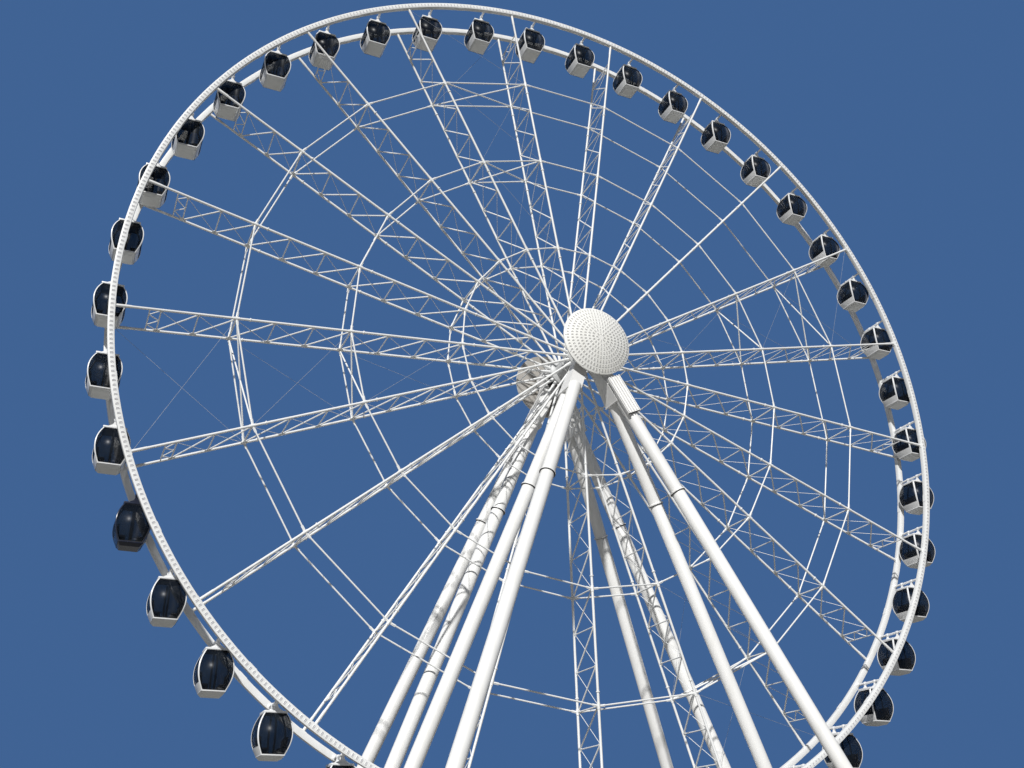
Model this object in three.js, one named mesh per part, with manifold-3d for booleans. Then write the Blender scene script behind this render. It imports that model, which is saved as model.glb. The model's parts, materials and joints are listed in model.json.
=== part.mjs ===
// A fairground observation wheel with 21 trussed spokes and 42 closed cabins, carried by
// eight round legs. It is a 1:2 scale model of a wheel about 57 m tall, in millimetres.
//
// +Z is up and the front is -Y. The axle lies along Y, and the origin is on the ground
// under the middle of the hub. Sizes are given as real metres and scaled by M.
import * as THREE from 'three';
import * as BufferGeometryUtils from 'three/addons/utils/BufferGeometryUtils.js';
import Module from 'manifold-3d';

const wasm = await Module();
wasm.setup();

// Driving dimensions
const M = 500; // millimetres of model for each real metre, at 1:2
const GAP = 0.3; // left between pieces that touch

const HUB_HEIGHT = 30.3 * M;
const SPOKES = 21;
const CABINS = 2 * SPOKES;
const FIRST_SPOKE = 13.436; // degrees from +X towards +Z, where the wheel stands
const BAY = 360 / SPOKES;
const SETS = [3, 2, 1, 3, 3, 3, 3, 3]; // spokes in each piece, from the first spoke on

const RIM_INNER = 26.37 * M;
const RIM_DEPTH = 0.33 * M;
const RIM_WIDTH = 0.28 * M;
const RIM_SEGMENTS = 4 * SPOKES; // a flat at each spoke and each cabin
const RIM_FLAT = RIM_INNER * Math.cos(Math.PI / RIM_SEGMENTS); // from the axle to a flat

const TRUSS_HALF = 1.204 * M; // from the wheel's middle plane to a chord's centre line
const CHORD = 0.15 * M;
const WEB = 0.09 * M;
const POSTS = [24.7, 24.15, 22.29, 20.38, 18.33, 16.25, 14.2, 12.02, 9.81, 7.63, 5.44, 3.3];
const RINGS = [20.38, 14.2, 7.63]; // where rings of braces join the spokes
const RING_BAR = 0.1 * M;

const HUB_RING = 0.85 * M;
const HUB_BARREL = 0.58 * M;
const HUB_RING_WIDTH = 0.4 * M;
const SHAFT = 0.34 * M;

const CABIN_PIVOT = 26.55 * M;
const CABIN_AXLE = 0.075 * M;
const CABIN_ROOF = 0.3 * M; // all below the pivot
const CABIN_GLASS_TOP = 0.46 * M;
const CABIN_WAIST = 1.375 * M;
const CABIN_GLASS_FOOT = 2.26 * M;
const CABIN_FLOOR = 2.52 * M;
const CABIN_HALF = { hanger: 0.14 * M, top: 0.53 * M, waist: 0.815 * M, foot: 0.576 * M, floor: 0.4 * M };

const LEG = 0.376 * M; // tube radius
const FLANGE = 0.42 * M;
const FLANGE_HEIGHT = 21.07 * M;
const FLANGE_THICK = 0.12 * M;
const FOOT_X = 12.8 * M;
const FOOT_Y = { inner: 1.6 * M, outer: 9.3 * M };
const WORK_POINT = { x: 0.15 * M, y: 2.41 * M }; // where a pair of legs would meet, level with the axle
const FOOT_PLATE = [1.5 * M, 1.1 * M, 0.06 * M];

const ARM_LENGTH = 1.85 * M;
const ARM_WIDTH = 0.8 * M;
const HEAD_FROM = 1.95 * M;
const HEAD_TO = 3.0 * M;
const HOUSING = 0.95 * M;
const HEAD_WALL = 0.1 * M; // closes the outer end of the bearing
const BEARING_GAP = 0.5; // round the shaft

const CAP_RADIUS = 2.157 * M;
const CAP_EDGE = 3.445 * M; // from the middle plane to the dome's edge
const CAP_POLE = 3.945 * M;
const CAP_SHEET = 0.1 * M;
const CAP_BOSS = 0.5 * M;

// Paints, from the photograph
const paints = {
  white: { color: 0xe9ecec, roughness: 0.42, metalness: 0.0 },
  shade: { color: 0xd4d8da, roughness: 0.5, metalness: 0.0 },
  cabin: { color: 0x26303c, roughness: 0.25, metalness: 0.1 },
};

const part = new THREE.Group();

function add(name, geometry, paint, place) {
  const mesh = new THREE.Mesh(geometry, new THREE.MeshStandardMaterial(paints[paint]));
  mesh.name = name;
  if (place) mesh.position.set(...place);
  part.add(mesh);
  return mesh;
}

// Joining and cutting
function toSolid(geometry) {
  const bare = geometry.index ? geometry.toNonIndexed() : geometry.clone();
  bare.deleteAttribute('normal');
  bare.deleteAttribute('uv');
  const merged = BufferGeometryUtils.mergeVertices(bare, 0.01);
  return new wasm.Manifold(new wasm.Mesh({
    numProp: 3,
    vertProperties: merged.attributes.position.array,
    triVerts: Uint32Array.from(merged.index.array),
  }));
}

function toGeometry(solid) {
  const mesh = solid.getMesh();
  const geometry = new THREE.BufferGeometry();
  geometry.setAttribute('position', new THREE.BufferAttribute(new Float32Array(mesh.vertProperties), 3));
  geometry.setIndex(new THREE.BufferAttribute(new Uint32Array(mesh.triVerts), 1));
  return geometry;
}

function join(...geometries) {
  return toGeometry(geometries.map(toSolid).reduce((a, b) => a.add(b)));
}

function cut(geometry, ...tools) {
  return toGeometry(tools.map(toSolid).reduce((a, b) => a.subtract(b), toSolid(geometry)));
}

// Shapes used by several pieces
const angleOf = (index) => THREE.MathUtils.degToRad(FIRST_SPOKE + index * BAY);

function box(size, centre) {
  return new THREE.BoxGeometry(...size).translate(...centre);
}

// A closed profile of [radius, along] points turned about the Y axis.
function turned(points, segments, start = 0) {
  const profile = points.map(([radius, along]) => new THREE.Vector2(radius, along));
  return new THREE.LatheGeometry(profile, segments, start);
}

// One spoke lying along X: two chords joined by posts and diagonals, cut from a plate in
// the plane of the axle and the spoke
function makeSpoke() {
  const inside = TRUSS_HALF - CHORD / 2;
  const tip = RIM_FLAT - GAP;
  const root = HUB_RING * Math.cos(THREE.MathUtils.degToRad(BAY / 2)) + GAP;
  const posts = POSTS.map((radius) => radius * M);
  const openings = [
    prism([[posts[0] + WEB / 2, -inside], [tip + M, -inside], [tip + M, inside], [posts[0] + WEB / 2, inside]]),
    prism([[root - M, -inside], [posts.at(-1) - WEB / 2, -inside], [posts.at(-1) - WEB / 2, inside],
      [root - M, inside]]),
  ];
  for (let i = 0; i + 1 < posts.length; i += 1) {
    const far = posts[i] - WEB / 2;
    const near = posts[i + 1] + WEB / 2;
    if (i === 0) {
      openings.push(prism([[near, -inside], [far, -inside], [far, inside], [near, inside]]));
      continue;
    }
    const wide = far - near;
    const high = 2 * inside;
    const slope = Math.hypot(wide, high);
    const overX = (WEB / 2) * slope / high;
    const overY = (WEB / 2) * slope / wide;
    openings.push(prism([[far, -inside], [far, inside - overY], [near + overX, -inside]]));
    openings.push(prism([[near, inside], [near, overY - inside], [far - overX, inside]]));
  }
  const plate = box([tip - root, 2 * TRUSS_HALF + CHORD, CHORD], [(tip + root) / 2, 0, 0]);
  return cut(plate, ...openings);
}

// An opening through the plate, with its corners anticlockwise or clockwise
function prism(points) {
  const shape = new THREE.Shape(points.map(([x, y]) => new THREE.Vector2(x, y)));
  return new THREE.ExtrudeGeometry(shape, { depth: 2 * CHORD, bevelEnabled: false }).translate(0, 0, -CHORD);
}

// A straight brace from the spoke that lies along X to the next one. It starts inside the
// first chord, and stops at the face of the second one or runs into it.
function ringBar(radius, side, joined) {
  const half = THREE.MathUtils.degToRad(BAY / 2);
  const length = 2 * radius * Math.sin(half);
  const clear = joined ? 0 : CHORD / 2 / Math.cos(half) + (RING_BAR / 2) * Math.tan(half) + GAP;
  const shape = box([RING_BAR, RING_BAR, length - clear], [0, side * TRUSS_HALF, (length - clear) / 2]);
  return shape.rotateY(-half).translate(radius, 0, 0);
}

function spokeWithBraces() {
  const braces = RINGS.flatMap((radius) => [-1, 1].map((side) => {
    const joined = radius === RINGS[0] && side < 0;
    return ringBar(radius * M, side, joined);
  }));
  return join(makeSpoke(), ...braces);
}

const spokeAlongX = spokeWithBraces();

// A set of spokes joined by the front braces of the outer ring. The last brace stops at the
// first spoke of the next set.
function spokeSet(first, count) {
  const spokes = [];
  for (let i = first; i < first + count; i += 1) spokes.push(spokeAlongX.clone().rotateY(-angleOf(i)));
  const next = box([3 * M, CHORD + 2 * GAP, CHORD + 2 * GAP], [RINGS[0] * M, -TRUSS_HALF, 0]);
  return cut(join(...spokes), next.rotateY(-angleOf(first + count)));
}

// A rim is a square band with a flat at the first spoke
function rim() {
  const outer = RIM_INNER + RIM_DEPTH;
  const start = THREE.MathUtils.degToRad(90 - FIRST_SPOKE) + Math.PI / RIM_SEGMENTS;
  return turned([
    [RIM_INNER, -RIM_WIDTH / 2], [outer, -RIM_WIDTH / 2], [outer, RIM_WIDTH / 2], [RIM_INNER, RIM_WIDTH / 2],
    [RIM_INNER, -RIM_WIDTH / 2],
  ], RIM_SEGMENTS, start);
}

// Hub: a barrel between two rings that the chords are bolted to, and the turning shaft
function hub() {
  const end = HEAD_TO - HEAD_WALL - GAP;
  const ringOut = TRUSS_HALF + HUB_RING_WIDTH / 2;
  const ringIn = TRUSS_HALF - HUB_RING_WIDTH / 2;
  return turned([
    [0, -end], [SHAFT, -end], [SHAFT, -ringOut], [HUB_RING, -ringOut], [HUB_RING, -ringIn],
    [HUB_BARREL, -ringIn], [HUB_BARREL, ringIn], [HUB_RING, ringIn], [HUB_RING, ringOut],
    [SHAFT, ringOut], [SHAFT, end], [0, end],
  ], SPOKES, THREE.MathUtils.degToRad(90 - FIRST_SPOKE - BAY / 2));
}

// A cabin hangs from its own axle, which turns in the two rims. Its four corners are arcs,
// so it is a four-sided turned shape, with a square hanger above the roof.
function cabin() {
  const half = CABIN_HALF;
  const shell = turned([
    [0, -CABIN_FLOOR], [half.floor, -CABIN_FLOOR], [half.foot, -CABIN_GLASS_FOOT],
    [half.waist, -CABIN_WAIST], [half.top, -CABIN_GLASS_TOP], [half.hanger, -CABIN_ROOF],
    [half.hanger, CABIN_AXLE], [0, CABIN_AXLE],
  ].map(([reach, height]) => [reach * Math.SQRT2, height]), 4, Math.PI / 4).rotateX(Math.PI / 2);
  const length = 2 * (TRUSS_HALF - RIM_WIDTH / 2 - GAP);
  const axle = new THREE.CylinderGeometry(CABIN_AXLE, CABIN_AXLE, length, 6);
  axle.translate(0, 0, -GAP); // so that its top isn't level with the hanger's
  return join(shell, axle);
}

// A large block whose face lies at a point, on the side that a direction looks to
function halfSpace(point, direction) {
  const size = 4 * M;
  const block = box([size, size, size], [0, 0, size / 2]);
  block.applyQuaternion(new THREE.Quaternion().setFromUnitVectors(new THREE.Vector3(0, 0, 1), direction));
  return block.translate(point.x, point.y, point.z);
}

// Legs. The two tubes of a pair run down from a work point level with the axle. They are
// welded where they meet below the head, and each stands on its own foot plate.
function leg(sideX, sideY, kind) {
  const top = new THREE.Vector3(sideX * WORK_POINT.x, sideY * WORK_POINT.y, HUB_HEIGHT);
  const foot = new THREE.Vector3(sideX * FOOT_X, sideY * FOOT_Y[kind], 0);
  const along = new THREE.Vector3().subVectors(foot, top);
  const length = along.length();
  const joint = (HUB_HEIGHT - FLANGE_HEIGHT) / HUB_HEIGHT * length;
  const tube = turned([
    [0, 0], [LEG, 0], [LEG, joint - FLANGE_THICK / 2], [FLANGE, joint - FLANGE_THICK / 2],
    [FLANGE, joint + FLANGE_THICK / 2], [LEG, joint + FLANGE_THICK / 2], [LEG, length + M], [0, length + M],
  ], 12);
  tube.applyQuaternion(new THREE.Quaternion().setFromUnitVectors(new THREE.Vector3(0, 1, 0), along.normalize()));
  tube.translate(top.x, top.y, top.z);
  const ground = halfSpace(new THREE.Vector3(foot.x, foot.y, FOOT_PLATE[2] / 2), new THREE.Vector3(0, 0, -1));
  return join(cut(tube, ground), box(FOOT_PLATE, [foot.x, foot.y, FOOT_PLATE[2] / 2]));
}

function legPair(sideX, sideY) {
  const head = halfSpace(headPoint(sideX, sideY, ARM_LENGTH + GAP), armWay(sideX).negate());
  return cut(join(leg(sideX, sideY, 'inner'), leg(sideX, sideY, 'outer')), head);
}

// Heads: a bearing housing round the shaft, with two box arms that take the legs and a
// shallow dome on a boss that hides the end of the axle
function armWay(sideX) {
  return new THREE.Vector3(sideX * (FOOT_X - WORK_POINT.x), 0, -HUB_HEIGHT).normalize();
}

function headPoint(sideX, sideY, distance) {
  const point = new THREE.Vector3(sideX * WORK_POINT.x, sideY * (HEAD_FROM + HEAD_TO) / 2, HUB_HEIGHT);
  return point.addScaledVector(armWay(sideX), distance);
}

function arm(sideX, sideY) {
  const from = headPoint(sideX, sideY, 0);
  const to = headPoint(sideX, sideY, ARM_LENGTH);
  const along = new THREE.Vector3().subVectors(to, from);
  const shape = new THREE.BoxGeometry(along.length(), HEAD_TO - HEAD_FROM, ARM_WIDTH);
  const side = new THREE.Vector3(0, 1, 0);
  along.normalize();
  shape.applyMatrix4(new THREE.Matrix4().makeBasis(
    along, side, new THREE.Vector3().crossVectors(along, side)));
  return shape.translate(...from.add(to).multiplyScalar(0.5));
}

function head(sideY) {
  const width = HEAD_TO - HEAD_FROM;
  const middle = sideY * (HEAD_FROM + HEAD_TO) / 2;
  const housing = new THREE.CylinderGeometry(HOUSING, HOUSING, width, 20).translate(0, middle, HUB_HEIGHT);
  const solid = join(housing, arm(-1, sideY), arm(1, sideY), cap(sideY));
  const sides = 20;
  const radius = (SHAFT + BEARING_GAP) / Math.cos(Math.PI / sides);
  const bore = new THREE.CylinderGeometry(radius, radius, width, sides);
  return cut(solid, bore.translate(0, middle - sideY * HEAD_WALL, HUB_HEIGHT));
}

function cap(sideY) {
  const bulge = CAP_POLE - CAP_EDGE;
  const sphere = (CAP_RADIUS ** 2 + bulge ** 2) / (2 * bulge);
  const root = HEAD_TO - HEAD_WALL / 2;
  const points = [[0, root], [CAP_BOSS, root], [CAP_BOSS, CAP_EDGE - CAP_SHEET], [CAP_RADIUS, CAP_EDGE - CAP_SHEET]];
  const steps = 3;
  for (let i = steps; i > 0; i -= 1) {
    const radius = CAP_RADIUS * i / steps;
    points.push([radius, CAP_POLE - sphere + Math.sqrt(sphere ** 2 - radius ** 2)]);
  }
  points.push([0, CAP_POLE]);
  const dome = turned(points, 24);
  if (sideY < 0) dome.rotateX(Math.PI);
  return dome.translate(0, 0, HUB_HEIGHT);
}

// The still frame
for (const [sideY, end] of [[-1, 'front'], [1, 'rear']]) {
  add(`${end}_head`, head(sideY), 'white');
  for (const [sideX, side] of [[-1, 'left'], [1, 'right']]) add(`${end}_${side}_legs`, legPair(sideX, sideY), 'white');
}

// The wheel
const axle = [0, 0, HUB_HEIGHT];
add('hub_drum', hub(), 'shade', axle);
add('front_rim', rim(), 'white', [0, -TRUSS_HALF, HUB_HEIGHT]);
add('rear_rim', rim(), 'white', [0, TRUSS_HALF, HUB_HEIGHT]);
let firstOfSet = 0;
SETS.forEach((count, index) => {
  add(`spokes_${'abcdefgh'[index]}`, spokeSet(firstOfSet, count), 'white', axle);
  firstOfSet += count;
});

// The cabins, counted from the first spoke anticlockwise as seen from the front
for (let i = 0; i < CABINS; i += 1) {
  const angle = angleOf((i + 0.5) / 2);
  const place = [CABIN_PIVOT * Math.cos(angle), 0, HUB_HEIGHT + CABIN_PIVOT * Math.sin(angle)];
  add(`cabin_${String(i + 1).padStart(2, '0')}`, cabin(), 'cabin', place);
}

export default part;
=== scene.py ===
import json
import math

import bmesh
import bpy
from mathutils import Matrix, Vector

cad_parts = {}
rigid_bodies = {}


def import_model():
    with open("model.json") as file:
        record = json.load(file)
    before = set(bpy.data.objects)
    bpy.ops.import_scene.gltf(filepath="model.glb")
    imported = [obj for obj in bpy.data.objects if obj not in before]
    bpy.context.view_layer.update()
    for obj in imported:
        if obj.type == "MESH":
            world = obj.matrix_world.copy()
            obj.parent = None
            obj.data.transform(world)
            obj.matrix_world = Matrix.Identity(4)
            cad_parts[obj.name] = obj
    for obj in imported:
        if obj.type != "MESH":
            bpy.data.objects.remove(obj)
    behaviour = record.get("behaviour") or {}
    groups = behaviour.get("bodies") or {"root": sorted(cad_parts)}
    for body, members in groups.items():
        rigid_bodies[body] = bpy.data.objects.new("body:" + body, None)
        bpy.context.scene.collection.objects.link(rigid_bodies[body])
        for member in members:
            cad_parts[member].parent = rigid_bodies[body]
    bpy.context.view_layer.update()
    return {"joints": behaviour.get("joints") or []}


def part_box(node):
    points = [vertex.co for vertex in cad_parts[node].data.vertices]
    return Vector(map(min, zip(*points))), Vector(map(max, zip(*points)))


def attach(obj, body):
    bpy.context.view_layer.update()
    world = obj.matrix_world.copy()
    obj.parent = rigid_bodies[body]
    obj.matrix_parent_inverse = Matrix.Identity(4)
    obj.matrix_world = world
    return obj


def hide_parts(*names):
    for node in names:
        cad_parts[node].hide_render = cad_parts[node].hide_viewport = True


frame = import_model()

# The wheel is a 1:2 model, so sizes are real metres times M. +Z is up and the front is -Y.
M = 0.5
TAU = 2 * math.pi
HUB = Vector(next(joint for joint in frame["joints"] if joint["name"] == "wheel_turn")["pos_m"])
RIM_LOW, RIM_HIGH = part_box("front_rim")

# Camera, at the photograph's angle
EYE = Vector((-26.306, -50.26, 1.778)) * M
YAW, PITCH, ROLL = (math.radians(angle) for angle in (23.958, 25.732, -0.685))
FOCAL_PIXELS = 1030.9
IMAGE_WIDTH = 1024
SENSOR = 36.0
FARTHEST_SEEN = 2000


def make_camera():
    data = bpy.data.cameras.new("camera")
    data.sensor_width = SENSOR
    data.lens = SENSOR * FOCAL_PIXELS / IMAGE_WIDTH
    data.clip_end = FARTHEST_SEEN
    camera = bpy.data.objects.new("camera", data)
    bpy.context.scene.collection.objects.link(camera)
    turn = Matrix.Rotation(-YAW, 4, "Z") @ Matrix.Rotation(math.pi / 2 + PITCH, 4, "X")
    camera.matrix_world = Matrix.Translation(EYE) @ turn @ Matrix.Rotation(ROLL, 4, "Z")
    bpy.context.scene.camera = camera


make_camera()


# Finishes

# Where the Mix node has its factor, its two colours and their mix
MIX_FACTOR, MIX_FIRST, MIX_SECOND, MIX_RESULT = 0, 6, 7, 2


class Socket:
    """An output of a node. Arithmetic on it adds Math nodes."""

    def __init__(self, nodes, output):
        self.nodes = nodes
        self.output = output

    def math(self, operation, first, second):
        return self.nodes.node("Math", {"operation": operation}, {0: first, 1: second})

    def __add__(self, other):
        return self.math("ADD", self, other)

    def __sub__(self, other):
        return self.math("SUBTRACT", self, other)

    def __rsub__(self, other):
        return self.math("SUBTRACT", other, self)

    def __mul__(self, other):
        return self.math("MULTIPLY", self, other)

    __radd__ = __add__
    __rmul__ = __mul__


class Nodes:
    """A tree of nodes, and the one way in which a node is added to it."""

    def __init__(self, tree):
        self.tree = tree

    def node(self, kind, settings, inputs, output=0):
        made = self.tree.nodes.new("ShaderNode" + kind)
        for key, value in settings.items():
            setattr(made, key, value)
        for key, value in inputs.items():
            self.feed(made.inputs[key], value)
        return Socket(self, made.outputs[output])

    def feed(self, socket, value):
        if isinstance(value, Socket):
            self.tree.links.new(value.output, socket)
        else:
            socket.default_value = value

    def between(self, factor, first, second):
        """A mix of two colours, each three numbers or the colour of another node."""
        colours = [colour if isinstance(colour, Socket) else (*colour, 1) for colour in (first, second)]
        return self.node(
            "Mix", {"data_type": "RGBA"},
            {MIX_FACTOR: factor, MIX_FIRST: colours[0], MIX_SECOND: colours[1]}, MIX_RESULT)


class Finish(Nodes):
    """The nodes of one material, round its Principled shader."""

    def __init__(self, name):
        self.material = bpy.data.materials.new(name)
        self.material.use_nodes = True
        super().__init__(self.material.node_tree)
        self.shader = self.tree.nodes["Principled BSDF"]
        self.place = self.node("TexCoord", {}, {}, "Object")

    def noise(self, scale, detail=3.0, stretch=(1, 1, 1)):
        place = self.node("Mapping", {}, {"Vector": self.place, "Scale": stretch})
        return self.node("TexNoise", {}, {"Vector": place, "Scale": scale, "Detail": detail}, "Fac")

    def ramp(self, value, low, high):
        """0 up to the low value, 1 from the high one on, and even between them."""
        return self.node("MapRange", {"clamp": True}, {0: value, 1: low, 2: high, 3: 0.0, 4: 1.0})

    def set(self, **values):
        """Feeds the shader's sockets and gives the material back."""
        for key, value in values.items():
            self.feed(self.shader.inputs[key.replace("_", " ").title().replace("Ior", "IOR")], value)
        return self.material


PEEL = 0.01
GLASS_ALPHA = 0.48


def painted(name, colour, worn, roughness=0.4, stain=0.35):
    """Paint with broad faint stains, fine grime and a slight orange peel."""
    finish = Finish(name)
    broad = finish.ramp(finish.noise(0.35), low=0.42, high=0.7)
    streaks = finish.ramp(finish.noise(5.0, detail=5.0, stretch=(1, 1, 0.12)), low=0.52, high=0.78)
    dirt = broad * stain * 0.5 + streaks * stain
    bump = finish.node("Bump", {}, {"Strength": PEEL * 4, "Distance": PEEL, "Height": finish.noise(45.0)})
    return finish.set(
        base_color=finish.between(dirt, colour, worn),
        roughness=(finish.noise(9.0) - 0.5) * 0.16 + roughness,
        normal=bump)


def metal(name, colour, worn, roughness, metallic):
    finish = Finish(name)
    patches = finish.ramp(finish.noise(14.0, detail=4.0), low=0.35, high=0.7)
    return finish.set(
        base_color=finish.between(patches, colour, worn),
        roughness=(finish.noise(30.0) - 0.5) * 0.2 + roughness,
        metallic=metallic)


def tinted_glass():
    finish = Finish("tinted glass")
    haze = finish.ramp(finish.noise(2.2, detail=2.0), low=0.4, high=0.75)
    return finish.set(
        base_color=finish.between(haze, (0.006, 0.010, 0.018), (0.016, 0.022, 0.030)),
        roughness=haze * 0.05 + 0.3,
        alpha=GLASS_ALPHA,
        specular_ior_level=0.22)


def pale_floor():
    """Pale to the camera, and dim as a source of bounced light."""
    finish = Finish("pale floor")
    seen = finish.node("LightPath", {}, {}, "Is Camera Ray")
    patches = finish.ramp(finish.noise(0.35), low=0.3, high=0.8)
    pale = finish.between(patches, (0.62, 0.60, 0.56), (0.58, 0.56, 0.52))
    return finish.set(
        base_color=finish.between(seen, (0.22, 0.215, 0.20), pale),
        roughness=finish.noise(2.0) * 0.1 + 0.8)


WHITE = painted("white paint", (0.84, 0.85, 0.85), (0.64, 0.64, 0.60))
LEG_WHITE = painted("leg paint", (0.86, 0.86, 0.85), (0.70, 0.69, 0.64), 0.38)
CAP_WHITE = painted("cap sheet", (0.86, 0.86, 0.83), (0.70, 0.69, 0.63), 0.5)
# Brown-grey for the domes' inner sides: painted shade, darker than the white sheet outside
CAP_BACK_PAINTED_SHADE = painted("dome back painted shade", (0.42, 0.40, 0.37), (0.28, 0.26, 0.23), 0.5, 0.5)
HUB_GREY = painted("hub paint", (0.55, 0.56, 0.56), (0.36, 0.35, 0.32), 0.45, 0.6)
CABIN_WHITE = painted("cabin shell", (0.84, 0.85, 0.86), (0.70, 0.69, 0.66), 0.28, 0.2)
SKIRT_GREY = painted("cabin skirt", (0.78, 0.79, 0.78), (0.62, 0.62, 0.59), 0.42, 0.4)
DARK_SHELL = painted("dark cabin shell", (0.018, 0.022, 0.040), (0.04, 0.045, 0.06), 0.25, 0.2)
# Near-black lining inside the cabins: painted shade, so the inside looks shaded through the glass
INSIDE_PAINTED_SHADE = painted("cabin inside painted shade", (0.010, 0.011, 0.014), (0.022, 0.022, 0.023), 0.7)
# Near-black seat covers: painted shade over seats that the sun would light through the glass
SEAT_PAINTED_SHADE = painted("seat cover painted shade", (0.016, 0.018, 0.028), (0.03, 0.03, 0.038), 0.8)
# Near-black for seals and joints, and also painted shade: the ring under each leg flange and the end of the
# ribbed cover
SEAL_AND_SHADE = painted("dark seal and painted shade", (0.025, 0.025, 0.027), (0.06, 0.058, 0.055), 0.6)
DOME_LENS = painted("dome lamp lens", (0.44, 0.43, 0.43), (0.50, 0.49, 0.47), 0.25)
RIM_LENS = painted("rim lamp lens", (0.52, 0.52, 0.57), (0.58, 0.57, 0.58), 0.25)
STEEL = metal("galvanised steel", (0.58, 0.60, 0.61), (0.42, 0.43, 0.43), 0.45, 0.7)
GLASS = tinted_glass()


# Ways of making a piece

# Every lamp's rise above its face, and its edge and sunk lens as shares of its width and rise
LAMP_RISE = 0.02 * M
LAMP_EDGE = 0.14
LENS_DEPTH = 0.6


class Piece:
    """One mesh, modelled in edit mode with its place in its mesh."""

    def __init__(self, name):
        bpy.ops.object.select_all(action="DESELECT")
        bpy.ops.object.add(type="MESH", location=(0, 0, 0))
        self.object = bpy.context.object
        self.object.name = name
        bpy.ops.object.mode_set(mode="EDIT")
        bpy.ops.mesh.select_mode(type="FACE")

    def coat(self, finish, linked=True):
        """Turns the new shape's faces outwards and gives it a finish."""
        if linked:
            bpy.ops.mesh.select_linked()
            bpy.ops.mesh.normals_make_consistent(inside=False)
        materials = self.object.data.materials
        if finish.name not in materials:
            materials.append(finish)
        self.object.active_material_index = materials.find(finish.name)
        bpy.ops.object.material_slot_assign()

    def rod(self, start, end, radius, sides, finish):
        start, end = Vector(start), Vector(end)
        along = end - start
        bpy.ops.mesh.primitive_cylinder_add(
            vertices=sides, radius=radius, depth=along.length, location=(start + end) / 2,
            rotation=along.to_track_quat("Z", "Y").to_euler())
        self.coat(finish)

    def block(self, centre, size, finish, turn=(0, 0, 0), bevel=0.0):
        bpy.ops.mesh.primitive_cube_add(size=1, location=centre, rotation=turn, scale=size)
        if bevel:
            bpy.ops.mesh.bevel(offset=bevel, segments=2, affect="EDGES")
        self.coat(finish)

    def loft(self, levels, start, along, sides, finish):
        """A closed form along a line: levels are (distance, radius), from the first end."""
        start, along = Vector(start), Vector(along).normalized()
        first, radius = levels[0]
        bpy.ops.mesh.primitive_circle_add(
            vertices=sides, radius=radius, fill_type="NGON", location=start + along * first,
            rotation=along.to_track_quat("Z", "Y").to_euler())
        for (near, narrow), (far, wide) in zip(levels, levels[1:]):
            bpy.ops.mesh.extrude_region_move(TRANSFORM_OT_translate={"value": along * (far - near)})
            if wide != narrow:
                bpy.ops.transform.resize(
                    value=(wide / narrow,) * 3, center_override=start + along * far)
        self.coat(finish)

    def stack(self, levels, finish, centre=(0, 0, 0)):
        """A four-sided form: levels are (height, half width, half depth), from the bottom up."""
        centre = Vector(centre)
        height, wide, deep = levels[0]
        bpy.ops.mesh.primitive_plane_add(size=2, location=centre + Vector((0, 0, height)))
        bpy.ops.transform.resize(value=(wide, deep, 1), center_override=centre + Vector((0, 0, height)))
        for (low, wide, deep), (high, wider, deeper) in zip(levels, levels[1:]):
            bpy.ops.mesh.extrude_region_move(TRANSFORM_OT_translate={"value": (0, 0, high - low)})
            bpy.ops.transform.resize(
                value=(wider / wide, deeper / deep, 1), center_override=centre + Vector((0, 0, high)))
        self.coat(finish)

    def ring_of(self, count, centre, axis):
        """Repeats what is selected round an axis."""
        bpy.ops.mesh.spin(
            steps=count - 1, dupli=True, angle=TAU * (count - 1) / count, center=centre, axis=axis)

    def lamp(self, at, facing, along, size, lens):
        """A long lamp with a raised edge and a sunk lens, selected when it is done."""
        facing, along = Vector(facing).normalized(), Vector(along).normalized()
        turn = Matrix((along, facing.cross(along), facing)).transposed()
        length, width = size
        bpy.ops.mesh.primitive_cube_add(
            size=1, location=Vector(at) + facing * LAMP_RISE / 2, rotation=turn.to_euler(),
            scale=(length, width, LAMP_RISE))
        self.coat(CAP_WHITE)
        self.keep_selected(lambda face: face.normal.dot(facing) > 0.9)
        bpy.ops.mesh.inset(thickness=width * LAMP_EDGE)
        bpy.ops.mesh.extrude_region_move(TRANSFORM_OT_translate={"value": facing * -LAMP_RISE * LENS_DEPTH})
        self.coat(lens, linked=False)
        bpy.ops.mesh.select_linked()

    def keep_selected(self, wanted):
        """Keeps those of the selected faces that a test picks."""
        mesh = bmesh.from_edit_mesh(self.object.data)
        for face in mesh.faces:
            face.select_set(face.select and bool(wanted(face)))
        mesh.select_flush_mode()
        bmesh.update_edit_mesh(self.object.data)

    def bolts(self, centre, axis, radius, count, size, finish):
        """A circle of hexagon heads that stand on a face."""
        centre, axis = Vector(centre), Vector(axis).normalized()
        side = axis.orthogonal().normalized()
        washer, head = size * 0.8, size * 0.5
        self.loft(
            [(-size * 0.2, washer), (0, washer), (0.001 * M, head), (size * 0.6, head)],
            centre + side * radius, axis, 6, finish)
        self.ring_of(count, centre, axis)

    def faces(self, wanted):
        """Selects the faces that a test picks, and no others."""
        mesh = bmesh.from_edit_mesh(self.object.data)
        for face in mesh.faces:
            face.select_set(bool(wanted(face.calc_center_median(), face.normal)))
        mesh.select_flush_mode()
        bmesh.update_edit_mesh(self.object.data)

    def edges(self, wanted):
        """Selects the edges that a test of their two ends picks."""
        bpy.ops.mesh.select_mode(type="EDGE")
        mesh = bmesh.from_edit_mesh(self.object.data)
        for edge in mesh.edges:
            edge.select_set(bool(wanted(*(vertex.co for vertex in edge.verts))))
        mesh.select_flush_mode()
        bmesh.update_edit_mesh(self.object.data)

    def done(self, smooth=32):
        bpy.ops.object.mode_set(mode="OBJECT")
        bpy.ops.object.shade_smooth_by_angle(angle=math.radians(smooth))
        return self.object


def select_only(piece):
    bpy.ops.object.select_all(action="DESELECT")
    piece.select_set(True)
    bpy.context.view_layer.objects.active = piece


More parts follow.
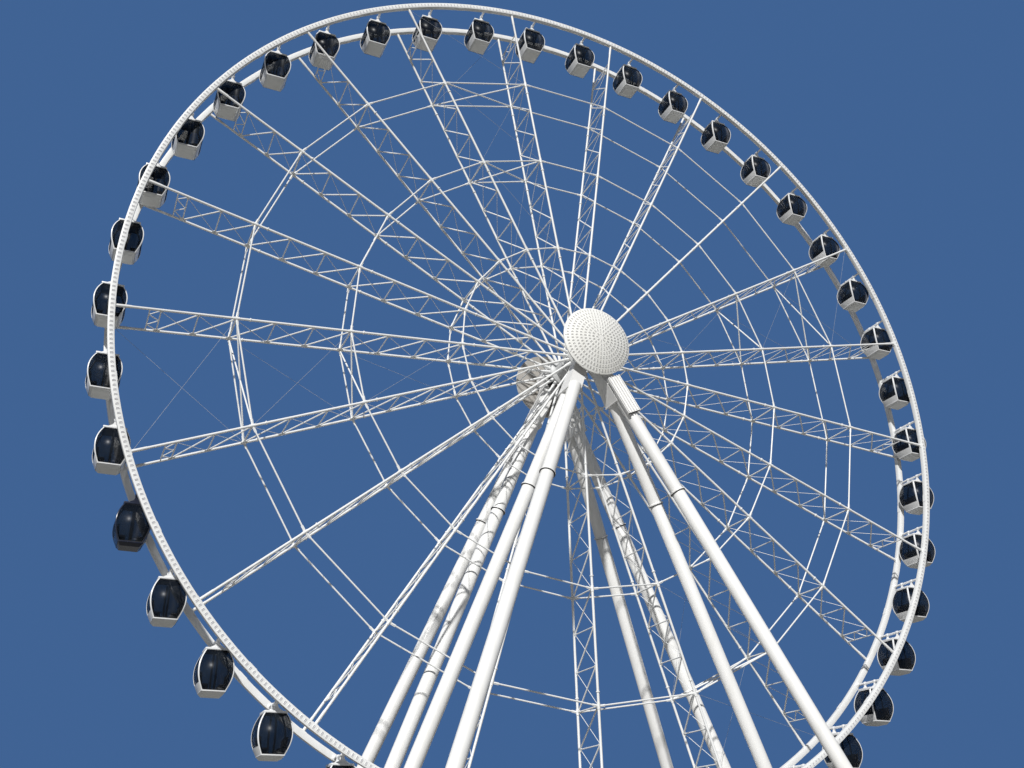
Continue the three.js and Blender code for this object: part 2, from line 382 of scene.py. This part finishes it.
def placed(piece, matrix):
    """Moves a piece by putting its place in its mesh."""
    select_only(piece)
    piece.matrix_world = matrix
    bpy.ops.object.transform_apply(location=True, rotation=True, scale=True)
    return piece


def copied(piece, name, matrix):
    copy = piece.copy()
    copy.data = piece.data.copy()
    copy.name = name
    bpy.context.scene.collection.objects.link(copy)
    return placed(copy, matrix)


def joined(name, pieces):
    select_only(pieces[0])
    for piece in pieces:
        piece.select_set(True)
    bpy.ops.object.join()
    pieces[0].name = name
    return pieces[0]


def settle(piece, body, slot, *nodes):
    """Puts a piece on the body that it moves with and hides the nodes that it stands for. The slot that names
    its finish is not used.
    """
    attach(piece, body)
    if nodes:
        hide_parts(*nodes)


# The wheel
SPOKES = 21
CABINS = 2 * SPOKES
# How many spokes each set has, from the first spoke on, anticlockwise
SETS = {"a": 3, "b": 2, "c": 1, "d": 3, "e": 3, "f": 3, "g": 3, "h": 3}
BAY = TAU / SPOKES
FIRST_SPOKE = math.radians(13.436)
TRUSS_HALF = 1.204 * M
CHORD = 0.070 * M
POST = 0.034 * M
DIAGONAL = 0.042 * M
END_DIAGONAL = 0.028 * M
TIE = 0.016 * M
BRACE = 0.045 * M
CABLE = 0.009 * M
POST_RADII = (24.7, 24.15, 22.29, 20.38, 18.33, 16.25, 14.2, 12.02, 9.81, 7.63, 5.44, 3.3)
POSTS = [radius * M for radius in POST_RADII]
RINGS = [POSTS[3], POSTS[6], POSTS[9]]
RIM_OUTER = RIM_HIGH.z - HUB.z
RIM_DEPTH = 0.33 * M
RIM_INNER = RIM_OUTER - RIM_DEPTH
RIM_WIDTH = RIM_HIGH.y - RIM_LOW.y
RIM_FACETS = 8 * CABINS
RIM_LIGHTS = 32 * SPOKES
RIM_LAMP = (0.165 * M, 0.08 * M)
HUB_RING = 0.85 * M
HUB_RING_HALF = 0.2 * M
HUB_EDGE = 0.03 * M
SHAFT = 0.33 * M
SHAFT_END = 2.85 * M
BOLT_CIRCLE = 0.66 * M
BOLT = 0.05 * M
SLEEVE = 0.8 * M
GUSSET = (0.42 * M, 0.20 * M, 0.022 * M)
GUSSET_TIP = 0.35
END_PLATE = (0.024 * M, 0.19 * M, 0.34 * M)
BRACE_PLATE = (0.34 * M, 0.025 * M, 0.13 * M)
COLLAR = [(-0.16 * M, 0.088 * M), (0.16 * M, 0.088 * M)]
SPLICE_PLATE = (0.02 * M, RIM_WIDTH * 0.9, 0.5 * M)
BEARING = [(0, 0.13 * M), (0.035 * M, 0.13 * M), (0.05 * M, 0.1 * M)]
# The first spoke of each bay that has crossing braces
CROSS_BRACED = (0, 5, 10, 16)


def chord_levels():
    """The chord's radius from the hub to the rim, with a sleeve at each end and flanged joints."""
    hub_sleeve, rim_sleeve, flange = 0.095 * M, 0.082 * M, 0.105 * M
    half, from_ring = 0.03 * M, 0.72 * M
    levels = [(HUB_RING, hub_sleeve), (HUB_RING + 0.42 * M, hub_sleeve), (HUB_RING + 0.5 * M, CHORD)]
    for ring in reversed(RINGS):
        joint = ring - from_ring
        near, far = joint - half, joint + half
        levels += [(near, CHORD), (near, flange), (far, flange), (far, CHORD)]
    end = RIM_INNER + 0.01 * M
    return levels + [(end - SLEEVE, CHORD), (end - SLEEVE + 0.05 * M, rim_sleeve), (end, rim_sleeve)]


def model_spoke():
    """A spoke along +X with the braces that lead to the next one."""
    spoke = Piece("spoke")
    inside = TRUSS_HALF - CHORD
    for side in (-1, 1):
        spoke.loft(chord_levels(), (0, side * TRUSS_HALF, 0), (1, 0, 0), 12, WHITE)
        for radius in POSTS[1:]:
            spoke.block((radius, side * (inside - CHORD), 0), GUSSET, WHITE)
            spoke.faces(lambda at, normal: normal.y * side < -0.9 and abs(at.x - radius) < 0.01)
            bpy.ops.transform.resize(value=(GUSSET_TIP, 1, 1), center_override=(radius, 0, 0))
        spoke.block((RIM_INNER - END_PLATE[0] / 2, side * TRUSS_HALF, 0), END_PLATE, WHITE)
    for radius in POSTS:
        thick = BRACE if radius in RINGS else POST
        spoke.rod((radius, -inside, 0), (radius, inside, 0), thick, 8, WHITE)
    for outer, inner in zip(POSTS[1:], POSTS[2:]):
        spoke.rod((outer, inside, 0), (inner, -inside, 0), DIAGONAL, 8, WHITE)
        spoke.rod((outer, -inside, DIAGONAL), (inner, inside, DIAGONAL), TIE, 6, WHITE)
    zigzag = [(POSTS[1 - step % 2], inside * (step / 2 - 1), 0) for step in range(5)]
    for start, end in zip(zigzag, zigzag[1:]):
        spoke.rod(start, end, END_DIAGONAL, 8, WHITE)
    for radius in RINGS:
        far = Vector((radius * math.cos(BAY), 0, radius * math.sin(BAY)))
        near = Vector((radius, 0, 0))
        along = (far - near).normalized()
        turn = (0, -math.atan2(along.z, along.x), 0)
        for side in (-1, 1):
            level = Vector((0, side * TRUSS_HALF, 0))
            spoke.rod(near + level + along * CHORD, far + level - along * CHORD, BRACE, 10, WHITE)
            for end, way in ((near, 1), (far, -1)):
                spoke.block(end + level + along * way * 0.2 * M, BRACE_PLATE, WHITE, turn)
            spoke.loft(COLLAR, near + level, (1, 0, 0), 12, WHITE)
    return spoke.done()


def spoke_turn(index):
    return Matrix.Translation(HUB) @ Matrix.Rotation(-(FIRST_SPOKE + index * BAY), 4, "Y")


def make_spokes():
    spoke = model_spoke()
    first = 0
    for letter, count in SETS.items():
        copies = [copied(spoke, "spoke", spoke_turn(index)) for index in range(first, first + count)]
        settle(joined("trusses_" + letter, copies), "wheel", "wheel_white", "spokes_" + letter)
        first += count
    bpy.data.objects.remove(spoke)


def node_at(index, radius, side):
    angle = FIRST_SPOKE + index * BAY
    return HUB + Vector((radius * math.cos(angle), side * TRUSS_HALF, radius * math.sin(angle)))


def make_cross_braces():
    """The four braced bays: crossing bars at the two outer rings, and cables from ring to ring."""
    braces = Piece("cross_braces")
    levels = [RIM_INNER - 0.05 * M] + RINGS
    for index in CROSS_BRACED:
        for side in (-1, 1):
            for ring in RINGS[:2]:
                braces.rod(node_at(index, ring, side), node_at(index + 1, ring, -side), BRACE, 8, WHITE)
        for outer, inner in zip(levels, levels[1:]):
            braces.rod(node_at(index + 1, outer, -1), node_at(index, inner, -1), CABLE, 6, STEEL)
            braces.rod(node_at(index, outer, 1), node_at(index + 1, inner, 1), CABLE, 6, STEEL)
    settle(braces.done(), "wheel", "wheel_white")


def make_rim(name, side):
    """A box band, spun from its own section, with its splice plates and the cabins' bearings."""
    rim = Piece(name + "_band")
    corner, weld = 0.015 * M, 0.0002
    centre = HUB + Vector((0, side * TRUSS_HALF, 0))
    section = centre + Vector(((RIM_INNER + RIM_OUTER) / 2, 0, 0))
    bpy.ops.mesh.primitive_plane_add(size=1, location=section)
    bpy.ops.transform.resize(value=(RIM_DEPTH, RIM_WIDTH, 1), center_override=section)
    bpy.ops.mesh.bevel(offset=corner, segments=2, affect="VERTICES")
    bpy.ops.mesh.delete(type="ONLY_FACE")
    bpy.ops.mesh.select_all(action="SELECT")
    bpy.ops.mesh.spin(steps=RIM_FACETS, angle=TAU, center=centre, axis=(0, 1, 0))
    bpy.ops.mesh.select_all(action="SELECT")
    bpy.ops.mesh.remove_doubles(threshold=weld)
    rim.coat(WHITE)
    for index in range(SPOKES):
        angle = FIRST_SPOKE + (index + 0.5) * BAY
        outward = Vector((math.cos(angle), 0, math.sin(angle)))
        rim.block(centre + outward * (RIM_INNER - SPLICE_PLATE[0] / 2), SPLICE_PLATE, WHITE, (0, -angle, 0))
    face = side * (TRUSS_HALF - RIM_WIDTH / 2)
    for index in range(CABINS):
        angle = FIRST_SPOKE + (index + 0.5) / 2 * BAY
        pivot = HUB + Vector((math.cos(angle), 0, math.sin(angle))) * CABIN_PIVOT
        rim.loft(BEARING, pivot + Vector((0, face, 0)), (0, -side, 0), 16, WHITE)
    settle(rim.done(), "wheel", "wheel_white", name)


def make_rim_lights():
    """One lamp on the front rim, repeated all the way round."""
    lights = Piece("rim_lights")
    centre = HUB + Vector((0, RIM_LOW.y, 0))
    start = centre + Vector((0, 0, (RIM_INNER + RIM_OUTER) / 2))
    lights.lamp(start, (0, -1, 0), (0, 0, 1), RIM_LAMP, RIM_LENS)
    lights.ring_of(RIM_LIGHTS, centre, (0, 1, 0))
    settle(lights.done(), "wheel", "wheel_white")


def make_hub():
    """The barrel between two bolted rings, and the shaft that carries them."""
    hub = Piece("hub_body")
    inside, outside = TRUSS_HALF - HUB_RING_HALF, TRUSS_HALF + HUB_RING_HALF
    edge = HUB_RING * 0.96
    front = [
        (-outside, edge), (-outside + HUB_EDGE, HUB_RING), (-inside - HUB_EDGE, HUB_RING), (-inside, edge),
        (-inside + 0.08 * M, 0.6 * M), (-0.1 * M, 0.58 * M), (-0.1 * M, 0.64 * M)]
    rear = [(-at, radius) for at, radius in reversed(front)]
    hub.loft(front + rear, HUB, (0, 1, 0), 2 * SPOKES, HUB_GREY)
    hub.loft([(-SHAFT_END, SHAFT), (SHAFT_END, SHAFT)], HUB, (0, 1, 0), 32, STEEL)
    for side in (-1, 1):
        face = HUB + Vector((0, side * outside, 0))
        hub.bolts(face, (0, side, 0), BOLT_CIRCLE, 2 * SPOKES, BOLT, STEEL)
        hub.loft(
            [(outside, 0.5 * M), (outside + 0.1 * M, 0.5 * M), (outside + 0.16 * M, 0.42 * M)],
            HUB, (0, side, 0), 32, HUB_GREY)
    settle(hub.done(), "wheel", "hub_steel", "hub_drum")


# The still frame
LEG = 0.376 * M
LEG_LIP = LEG + 0.07 * M
FLANGE_HEIGHT = 21.07 * M
FOOT_X = 12.8 * M
FOOT_Y = {"inner": 1.6 * M, "outer": 9.3 * M}
FOOT_PLATE = (1.5 * M, 1.1 * M, 0.06 * M)
FOOT_GUSSET = (0.34 * M, 0.03 * M, 0.3 * M)
FOOT_BOLT = [(0, 0.06 * M), (0.05 * M, 0.06 * M), (0.05 * M, 0.03 * M), (0.12 * M, 0.03 * M)]
WORK_POINT = Vector((0.15 * M, 2.41 * M, 0))
HEAD_FROM = 1.95 * M
HEAD_TO = 3.0 * M
HOUSING = 0.95 * M
ARM_WIDTH = 0.8 * M
ARM_FACE = 2.8 * M
ARM_FLARE = 2.1 * M
ARM_END = 3.7 * M
ARM_BACK = 1.9 * M
ARM_FRONT = 3.28 * M
ARM_FLANGE = 0.04 * M
# Places along an arm, each with the share of its full width that the arm has gained there
ARM_STATIONS = [(ARM_FLARE, 0.0), (ARM_FLARE + (ARM_END - ARM_FLARE) * 0.16, 0.45), (ARM_END, 1.0)]
FIN = (0.06 * M, 0.05 * M, 0.4 * M)
FIN_REACH = 0.9 * M
COVER = (2.5 * M, 0.8 * M, 0.18 * M)
COVER_RIB = (COVER[0] + 0.04 * M, 0.055 * M, 0.1 * M)
RIB_PITCH = 0.17 * M


def at_side(side_x, side_y, point):
    return Vector((side_x * point[0], side_y * point[1], point[2]))


def add_leg(legs, top, foot):
    """A long tube in two lengths with a flanged joint, on a gusseted foot plate."""
    along = foot - top
    length = along.length
    joint = (HUB.z - FLANGE_HEIGHT) / HUB.z * length
    edge, seam, seal = 0.07 * M, 0.02 * M, LEG_LIP - 0.012 * M
    legs.loft(
        [(ARM_END - 0.4 * M, LEG), (joint - edge - 0.03 * M, LEG), (joint - edge, LEG_LIP), (joint, LEG_LIP)],
        top, along, 36, LEG_WHITE)
    # A near-black ring just under the flange: partly the joint's seam, partly painted shade under the flange
    legs.loft([(joint, seal), (joint + seam, seal)], top, along, 36, SEAL_AND_SHADE)
    legs.loft(
        [(joint + seam, LEG * 0.97), (joint + 2 * seam, LEG), (length - 0.28 * M, LEG)],
        top, along, 36, LEG_WHITE)
    plate = FOOT_PLATE[2]
    legs.block(foot + Vector((0, 0, plate / 2)), FOOT_PLATE, LEG_WHITE)
    for step in range(4):
        angle = step * math.pi / 2
        out = Vector((math.cos(angle), math.sin(angle), 0))
        legs.block(foot + out * 0.375 * M + Vector((0, 0, 0.2 * M)), FOOT_GUSSET, LEG_WHITE, (0, 0, angle))
    for x in (-0.62 * M, 0.62 * M):
        for y in (-0.42 * M, 0.42 * M):
            legs.loft(FOOT_BOLT, foot + Vector((x, y, plate)), (0, 0, 1), 6, STEEL)


def make_legs(end, side):
    side_x = -1 if side == "left" else 1
    side_y = -1 if end == "front" else 1
    legs = Piece(f"{end}_{side}_tubes")
    top = at_side(side_x, side_y, WORK_POINT) + Vector((0, 0, HUB.z))
    for y in FOOT_Y.values():
        add_leg(legs, top, at_side(side_x, side_y, (FOOT_X, y, 0)))
    settle(legs.done(), "frame", "frame_white", f"{end}_{side}_legs")


def add_arm(head, side_x, side_y):
    """A box arm that widens towards its end, where it takes the two tubes of a pair."""
    depth, wide = ARM_FACE - HEAD_FROM, ARM_FRONT - ARM_BACK
    start = at_side(side_x, side_y, WORK_POINT) + Vector((0, 0, HUB.z))
    start.y = side_y * (HEAD_FROM + ARM_FACE) / 2
    shift = Vector((0, side_y * (ARM_FRONT + ARM_BACK) / 2 - start.y, 0))
    along = Vector((side_x * (FOOT_X - WORK_POINT.x), 0, -HUB.z)).normalized()
    turn = (0, math.atan2(-along.z, along.x), 0)
    head.block(start + along * ARM_FLARE / 2, (ARM_FLARE, depth, ARM_WIDTH), LEG_WHITE, turn)
    head.keep_selected(lambda face: face.normal.dot(along) > 0.9)
    for (near, less), (far, more) in zip(ARM_STATIONS, ARM_STATIONS[1:]):
        move = along * (far - near) + shift * (more - less)
        growth = (depth + (wide - depth) * more) / (depth + (wide - depth) * less)
        bpy.ops.mesh.extrude_region_move(TRANSFORM_OT_translate={"value": move})
        bpy.ops.transform.resize(value=(1, growth, 1), center_override=start + shift * more + along * far)
    head.coat(LEG_WHITE)
    end = start + shift + along * ARM_END
    head.block(end, (ARM_FLANGE, wide + 0.05 * M, ARM_WIDTH + 0.05 * M), LEG_WHITE, turn)
    inward = Vector((-along.z, 0, along.x)) * -side_x
    fin = end + inward * 0.2 * M + along * FIN[0] / 2 + Vector((0, side_y * 0.4 * M, 0))
    head.block(fin, FIN, LEG_WHITE, turn)
    head.keep_selected(lambda face: face.normal.dot(along) > 0.9)
    bpy.ops.mesh.extrude_region_move(TRANSFORM_OT_translate={"value": along * FIN_REACH - inward * 0.16 * M})
    bpy.ops.transform.resize(value=(0.2, 1, 0.2))
    head.coat(LEG_WHITE)


def add_cover(head, side_x, side_y):
    """A ribbed cover down the front of the outer tube, over the end of the arm."""
    top = at_side(side_x, side_y, WORK_POINT) + Vector((0, 0, HUB.z))
    foot = at_side(side_x, side_y, (FOOT_X, FOOT_Y["outer"], 0))
    along = (foot - top).normalized()
    outward = Vector((side_x * -0.1, side_y, 0))
    outward = (outward - along * outward.dot(along)).normalized()
    across = outward.cross(along)
    turn = Matrix((along, across, outward)).transposed().to_euler()
    length, width, _ = COVER
    middle = top + along * 3.72 * M + outward * (LEG + 0.04 * M)
    head.block(middle, COVER, LEG_WHITE, turn)
    for step in range(-2, 3):
        head.block(middle + across * step * RIB_PITCH + outward * 0.12 * M, COVER_RIB, LEG_WHITE, turn)
    # A near-black block at the cover's lower end: painted shadow under the end
    end_shadow = (0.012 * M, width - 0.06 * M, 0.14 * M)
    head.block(middle + along * (length / 2 + end_shadow[0] / 2), end_shadow, SEAL_AND_SHADE, turn)


def make_head(end):
    """The bearing housing with its two arms and, on the front right one, a ribbed cover."""
    side_y = -1 if end == "front" else 1
    head = Piece(f"{end}_bearing_head")
    head.loft(
        [(HEAD_FROM, HOUSING * 0.95), (HEAD_FROM + 0.04 * M, HOUSING),
         (HEAD_TO - 0.04 * M, HOUSING), (HEAD_TO, HOUSING * 0.95)],
        HUB, (0, side_y, 0), 48, LEG_WHITE)
    head.loft(
        [(HEAD_TO, 0.6 * M), (HEAD_TO + 0.05 * M, 0.6 * M), (HEAD_TO + 0.08 * M, 0.55 * M)],
        HUB, (0, side_y, 0), 32, LEG_WHITE)
    for side_x in (-1, 1):
        add_arm(head, side_x, side_y)
    if end == "front":
        add_cover(head, 1, side_y)
    settle(head.done(), "frame", "frame_white", f"{end}_head")


CAP_RADIUS = 2.157 * M
CAP_TAPER = 0.985
CAP_EDGE = 3.445 * M
CAP_POLE = 3.945 * M
CAP_SHEET = 0.03 * M
CAP_RIM = 0.1 * M
CAP_STEPS = 12
LAMP_RINGS = 8
LAMPS_EACH_RING = 8
LAMP_PITCH = 0.1135 * CAP_RADIUS
DOME_LAMP = (0.14 * M, 0.068 * M)
STAYS = 12
STAY_BAR = (1.7 * M, 0.14 * M, 0.04 * M)
STAY_ROD = 0.035 * M
BOSS = 0.5 * M


def make_dome(end):
    """A shallow dome of sheet with rings of radial lamps, and a flat back on stays and a boss."""
    side_y = -1 if end == "front" else 1
    facing = Vector((0, side_y, 0))
    dome = Piece(f"{end}_dome")
    rise = CAP_POLE - CAP_EDGE
    sphere = (CAP_RADIUS ** 2 + rise ** 2) / (2 * rise)

    def height(radius):
        return CAP_POLE - sphere + math.sqrt(sphere ** 2 - radius ** 2)

    radii = [CAP_RADIUS * math.sin(math.pi / 2 * step / CAP_STEPS) for step in range(1, CAP_STEPS + 1)]
    inner = [(height(radius) - CAP_SHEET - LAMP_RISE, radius * CAP_TAPER) for radius in radii]
    outer = [(height(radius) - LAMP_RISE, radius) for radius in reversed(radii)]
    dome.loft(inner + outer, HUB, facing, 96, CAP_WHITE)
    back, front, narrow = CAP_EDGE - CAP_RIM, CAP_EDGE - LAMP_RISE, CAP_RADIUS * CAP_TAPER
    dome.loft(
        [(back, narrow), (back, CAP_RADIUS), (front, CAP_RADIUS), (front, narrow)],
        HUB, facing, 96, CAP_WHITE)
    # The sheet's inner side takes the brown-grey painted shade
    dome.faces(lambda at, normal: normal.dot(facing) < -0.5)
    dome.coat(CAP_BACK_PAINTED_SHADE, linked=False)
    for ring in range(1, LAMP_RINGS + 1):
        radius = ring * LAMP_PITCH
        slope = radius / math.sqrt(sphere ** 2 - radius ** 2)
        at = HUB + Vector((0, side_y * (height(radius) - LAMP_RISE), radius))
        dome.lamp(at, (0, side_y, slope), (0, -side_y * slope, 1), DOME_LAMP, DOME_LENS)
        dome.ring_of(LAMPS_EACH_RING * ring, HUB, (0, 1, 0))
    for step in range(STAYS):
        angle = TAU * step / STAYS
        out = Vector((math.cos(angle), 0, math.sin(angle)))
        bar = HUB + out * 1.25 * M + facing * (CAP_EDGE - STAY_BAR[2] / 2)
        dome.block(bar, STAY_BAR, LEG_WHITE, (0, -angle, 0))
        low = HUB + out * BOSS + facing * (HEAD_TO + 0.05 * M)
        high = HUB + out * 1.75 * M + facing * (CAP_EDGE - 0.08 * M)
        dome.rod(low, high, STAY_ROD, 8, LEG_WHITE)
    dome.loft([(HEAD_TO + 0.01 * M, BOSS), (CAP_EDGE + 0.2 * M, BOSS)], HUB, facing, 24, LEG_WHITE)
    settle(dome.done(25), "frame", "frame_white")


# Cabins
CABIN_PIVOT = 26.55 * M
AXLE = 0.07 * M
ROOF = 0.33 * M
GLASS_TOP = 0.46 * M
WAIST = 1.375 * M
GLASS_FOOT = 2.32 * M
RAIL_FOOT = 2.352 * M
FLOOR = 2.5 * M
TURN_IN = 2.26 * M
# The curves of the sides: three depths below the pivot, each with half the width there
ACROSS = [(GLASS_TOP, 0.53 * M), (WAIST, 0.815 * M), (TURN_IN, 0.576 * M)]
ALONG = [(GLASS_TOP, 0.53 * M), (WAIST, 0.815 * M), (TURN_IN, 0.64 * M)]
RAIL_LIP = 0.012 * M
# Sections of the shell under the glass and over it: height, half the width and half the depth
SKIRT = [
    (-FLOOR, 0.42 * M, 0.44 * M), (-FLOOR + 0.02 * M, 0.45 * M, 0.465 * M),
    (-2.36 * M, 0.532 * M, 0.595 * M), (-RAIL_FOOT, 0.54 * M, 0.605 * M)]
TOP = [
    (-0.455 * M, 0.555 * M, 0.555 * M), (-0.385 * M, 0.555 * M, 0.555 * M),
    (-0.37 * M, 0.53 * M, 0.53 * M), (-ROOF, 0.2 * M, 0.2 * M)]
CORNER = 0.034 * M
REVEAL = 0.015 * M
SEAL_WIDTH = 0.012 * M
SHELL_WALL = 0.03 * M
PANE = 0.01 * M
ROWS = 12
SILL_ROWS = 2
# A hanger plate from its foot up: height and half the width
HANGER = [
    (-0.38, 0.36), (-0.33, 0.29), (-0.27, 0.17), (-0.20, 0.10),
    (-0.10, 0.07), (0.05, 0.06), (0.09, 0.03)]
HANGER_HALF = 0.03 * M
DARK_CABIN = 23


def bulge(depth, points):
    """Half the cabin's width at a depth below the pivot, on the curve through three points."""
    total = 0.0
    for own, width in points:
        share = width
        for other, _ in points:
            if other != own:
                share *= (depth - other) / (own - other)
        total += share
    return total


def add_windows(cabin, row):
    """A framed pane on each of the four sides. Those across the cabin start above a sill."""
    for axis, side in ((0, -1), (0, 1), (1, -1), (1, 1)):
        sill = -GLASS_FOOT + (SILL_ROWS * row if axis == 0 else 0)
        frame_width = (0.045 if axis == 0 else 0.02) * M
        cabin.faces(lambda at, normal: (
            normal[axis] * side > 0.75 and sill < at.z < -GLASS_TOP and abs(at[1 - axis]) < 0.1 * M))
        bpy.ops.mesh.inset(thickness=frame_width, use_boundary=True)
        bpy.ops.mesh.extrude_region_shrink_fatten(TRANSFORM_OT_shrink_fatten={"value": -REVEAL})
        cabin.coat(SEAL_AND_SHADE, linked=False)
        bpy.ops.mesh.inset(thickness=SEAL_WIDTH, use_boundary=True)
        cabin.coat(GLASS, linked=False)


def parted(cabin):
    """Takes the panes out of the shell and gives the two."""
    glass_index = cabin.object.data.materials.find(GLASS.name)
    mesh = bmesh.from_edit_mesh(cabin.object.data)
    for face in mesh.faces:
        face.select_set(face.material_index == glass_index)
    bmesh.update_edit_mesh(cabin.object.data)
    bpy.ops.mesh.separate(type="SELECTED")
    shell = cabin.done(25)
    glass = next(piece for piece in bpy.context.selected_objects if piece is not shell)
    glass.name = "panes"
    return shell, glass


def thicken(sheet, thickness, inner_finish=0):
    """Gives a sheet its thickness, with its inner faces so many finishes further on in its list."""
    select_only(sheet)
    bpy.ops.object.modifier_add(type="SOLIDIFY")
    solidify = sheet.modifiers["Solidify"]
    solidify.thickness = thickness
    solidify.material_offset = inner_finish
    bpy.ops.object.modifier_apply(modifier="Solidify")


def model_cabin():
    """The shell with its open window frames and what it holds, and the four panes on their own."""
    cabin = Piece("cabin")
    row = (GLASS_FOOT - GLASS_TOP) / ROWS
    foot = bulge(GLASS_FOOT, ACROSS) + RAIL_LIP, bulge(GLASS_FOOT, ALONG) + RAIL_LIP
    levels = SKIRT + [(-RAIL_FOOT, *foot), (-GLASS_FOOT, *foot)]
    for step in range(1, ROWS + 1):
        depth = GLASS_FOOT - row * step
        levels.append((-depth, bulge(depth, ACROSS), bulge(depth, ALONG)))
    cabin.stack(levels + TOP, CABIN_WHITE)
    top = -ROOF - 0.01 * M
    cabin.edges(lambda a, b: abs(a.z - b.z) > 1e-4 and a.z < top and b.z < top)
    bpy.ops.mesh.bevel(offset=CORNER, segments=2, affect="EDGES")
    bpy.ops.mesh.select_mode(type="FACE")
    cabin.faces(lambda at, normal: at.z < -RAIL_FOOT - 0.002 * M)
    cabin.coat(SKIRT_GREY, linked=False)
    add_windows(cabin, row)
    shell, glass = parted(cabin)
    # The shell's inner faces take the near-black painted shade
    shell.data.materials.append(INSIDE_PAINTED_SHADE)
    thicken(shell, SHELL_WALL, len(shell.data.materials))
    thicken(glass, PANE)
    return joined("shell", [shell, model_fittings()]), glass


def model_fittings():
    """What the shell holds and what it hangs from."""
    fittings = Piece("fittings")
    floor_board, ceiling = (0.88 * M, 0.98 * M, 0.03 * M), (0.96 * M, 0.96 * M, 0.03 * M)
    cushion, bench = (0.34 * M, 1.05 * M, 0.10 * M), (0.22 * M, 0.9 * M, 0.28 * M)
    backrest, lean, soft = (0.08 * M, 1.1 * M, 0.5 * M), 0.12, 0.02 * M
    post, reach = (0.09 * M, 0.02 * M, 0.64 * M), 0.3 * M
    hanger = [(height * M, half * M, HANGER_HALF) for height, half in HANGER]
    # The floor board and ceiling take the near-black painted shade
    fittings.block((0, 0, -2.38 * M), floor_board, INSIDE_PAINTED_SHADE)
    fittings.block((0, 0, -0.49 * M), ceiling, INSIDE_PAINTED_SHADE)
    for side in (-1, 1):
        # Cushions and backrests take the near-black seat colour, painted shade; the bench and posts take the
        # painted-shade lining
        fittings.block((side * 0.42 * M, 0, -2.06 * M), cushion, SEAT_PAINTED_SHADE, bevel=soft)
        fittings.block((side * 0.36 * M, 0, -2.23 * M), bench, INSIDE_PAINTED_SHADE)
        fittings.block((side * 0.6 * M, 0, -1.76 * M), backrest, SEAT_PAINTED_SHADE, (0, side * lean, 0), soft)
        for depth in (0.77 * M, 1.38 * M, 1.99 * M):
            slope = (bulge(depth + reach, ALONG) - bulge(depth - reach, ALONG)) / (2 * reach)
            place = (0, side * (bulge(depth, ALONG) - 0.065 * M), -depth)
            fittings.block(place, post, INSIDE_PAINTED_SHADE, (side * math.atan(slope), 0, 0))
        fittings.stack(hanger, CABIN_WHITE, (0, side * 0.43 * M, 0))
        fittings.loft([(0.37 * M, 0.1 * M), (0.49 * M, 0.1 * M)], (0, 0, 0), (0, side, 0), 16, CABIN_WHITE)
    half = TRUSS_HALF - RIM_WIDTH / 2 - 0.002 * M
    fittings.loft([(-half, AXLE), (half, AXLE)], (0, 0, 0), (0, 1, 0), 12, CABIN_WHITE)
    return fittings.done()


def make_cabins():
    shell, glass = model_cabin()
    for joint in frame["joints"]:
        body = joint["child"]
        if not body.startswith("cabin_"):
            continue
        place = Matrix.Translation(joint["pos_m"])
        own = copied(shell, body + "_shell", place)
        finish = "cabin_shell"
        if int(body[-2:]) == DARK_CABIN:
            finish = "cabin_dark"
            for slot in own.material_slots:
                if slot.material in (CABIN_WHITE, SKIRT_GREY):
                    slot.material = DARK_SHELL
        settle(own, body, finish, body)
        settle(copied(glass, body + "_glass", place), body, finish)
    bpy.data.objects.remove(shell)
    bpy.data.objects.remove(glass)


make_spokes()
make_cross_braces()
make_rim("front_rim", -1)
make_rim("rear_rim", 1)
make_rim_lights()
make_hub()
for end in ("front", "rear"):
    make_head(end)
    make_dome(end)
    for side in ("left", "right"):
        make_legs(end, side)
make_cabins()


# Stage
FLOOR_SIZE = 600
FLOOR_DROP = 0.002
KEY_FROM = Vector((-0.46, -0.66, 0.595))
KEY_STRENGTH = 4.0
KEY_SPREAD = math.radians(2)
KEY_COLOUR = (1.0, 0.985, 0.96)
BACKDROP_SEEN = (0.052, 0.125, 0.295)
BACKDROP_LIGHT = (0.12, 0.13, 0.15)


def make_floor():
    floor = Piece("floor")
    bpy.ops.mesh.primitive_plane_add(size=FLOOR_SIZE, location=(0, 0, -FLOOR_DROP))
    floor.coat(pale_floor())
    floor.done()


def make_key_light():
    sun = bpy.data.lights.new("key", "SUN")
    sun.energy = KEY_STRENGTH
    sun.angle = KEY_SPREAD
    sun.color = KEY_COLOUR
    key = bpy.data.objects.new("key", sun)
    bpy.context.scene.collection.objects.link(key)
    key.rotation_euler = KEY_FROM.to_track_quat("Z", "Y").to_euler()


def make_backdrop():
    """Blue where it is seen or reflected, and a dim grey for the light that it gives."""
    world = bpy.data.worlds.new("backdrop")
    bpy.context.scene.world = world
    world.use_nodes = True
    nodes = Nodes(world.node_tree)
    diffuse = nodes.node("LightPath", {}, {}, "Is Diffuse Ray")
    shade = nodes.between(diffuse, BACKDROP_SEEN, BACKDROP_LIGHT)
    nodes.feed(world.node_tree.nodes["Background"].inputs["Color"], shade)


make_floor()
make_key_light()
make_backdrop()
bpy.context.scene.view_settings.view_transform = "Standard"
